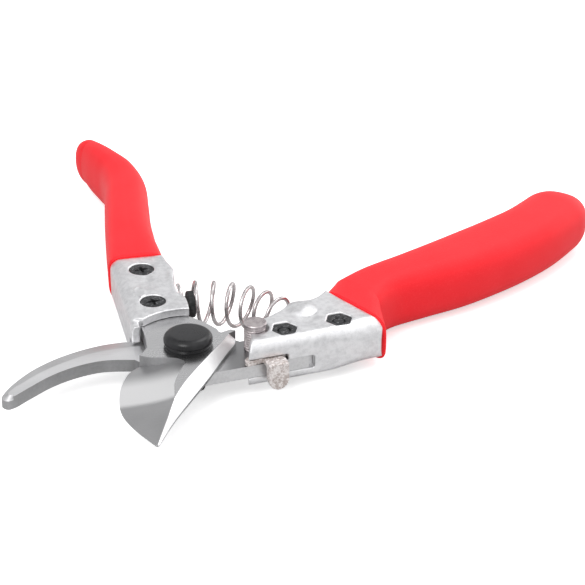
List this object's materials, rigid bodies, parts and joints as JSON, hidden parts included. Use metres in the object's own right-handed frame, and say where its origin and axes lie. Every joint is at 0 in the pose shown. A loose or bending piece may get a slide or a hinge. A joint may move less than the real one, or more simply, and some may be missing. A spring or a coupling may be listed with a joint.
{
  "type": "bypass pruner",
  "caption": "One-handed bypass garden pruner: a curved blade slides past a hooked counter blade on a pivot bolt, with gripped cast handles, a return spring and a latch.",
  "frame": {"origin": "on the pivot axis, at the underside of the pivot nut, which is level with the undersides of the two grips", "axes": "+Z along the pivot axis, out of the side with the pivot cap; +X from the pivot along the hook handle's two screws; the jaws point along -X"},
  "size_m": [0.2116, 0.1998, 0.02],
  "materials": {
    "blade_steel": "ground",
    "cast_alloy": "tumbled satin",
    "grip": "fine grained matte",
    "dark_steel": "blackened",
    "plated_steel": "plated",
    "spring_steel": "drawn wire",
    "latch_alloy": "rough cast, plated",
    "cap_plastic": "semi-gloss",
    "buffer_rubber": "matte"
  },
  "bodies": {
    "hook_lever": {"hook": "blade_steel", "hook_handle": "cast_alloy", "hook_grip": "grip", "hook_screw_front": "dark_steel", "hook_screw_rear": "dark_steel", "hook_nut_front": "dark_steel", "hook_nut_rear": "dark_steel", "stop_stud": "plated_steel", "pivot_bolt": "dark_steel", "pivot_cap": "cap_plastic", "pivot_washer": "plated_steel", "pivot_nut": "dark_steel", "return_spring": "spring_steel"},
    "blade_lever": {"blade": "blade_steel", "blade_handle": "cast_alloy", "blade_grip": "grip", "blade_screw_front": "dark_steel", "blade_screw_rear": "dark_steel", "blade_nut_front": "dark_steel", "blade_nut_rear": "dark_steel", "spring_buffer": "buffer_rubber"},
    "latch": {"latch": "latch_alloy"}
  },
  "joints": [
    {"name": "cut", "type": "hinge", "parent": "hook_lever", "child": "blade_lever", "pos_m": [0, 0, 0.012], "axis": [0, 0, -1], "range_deg": [0, 54], "stiffness_Nm_per_rad": 0.4, "springref_deg": -20.05, "deforming": ["return_spring"]},
    {"name": "lock", "type": "hinge", "parent": "hook_lever", "child": "latch", "pos_m": [0.0281, -0.0054, 0.011], "axis": [0, 0, -1], "range_deg": [0, 12.8]}
  ]
}
